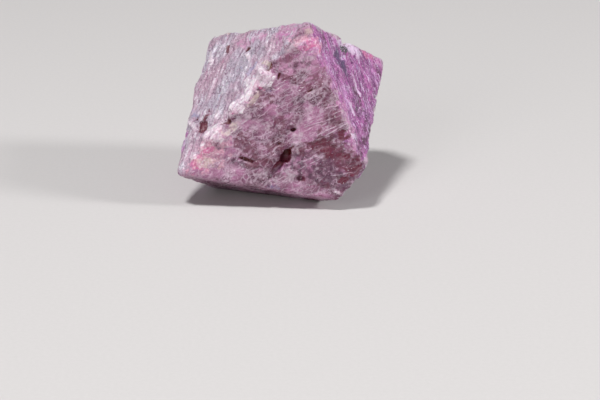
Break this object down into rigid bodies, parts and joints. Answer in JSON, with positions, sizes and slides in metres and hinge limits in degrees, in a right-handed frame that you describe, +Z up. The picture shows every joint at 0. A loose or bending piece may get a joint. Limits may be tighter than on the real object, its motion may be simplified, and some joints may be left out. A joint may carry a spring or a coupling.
{
  "type": "spinel crystal",
  "caption": "Rough pink-violet spinel octahedron with ridged, pitted faces and a flat broken base that it stands on.",
  "frame": {"origin": "on the flat broken base that the crystal rests on, straight below the octahedron's centre", "axes": "+Z up, away from the broken base; +Y points away from the large front face and +X runs to its right"},
  "size_m": [0.0324, 0.0286, 0.0291],
  "materials": {
    "rose_spinel": "satin"
  },
  "bodies": {
    "root": {"spinel_crystal": "rose_spinel"}
  },
  "joints": []
}
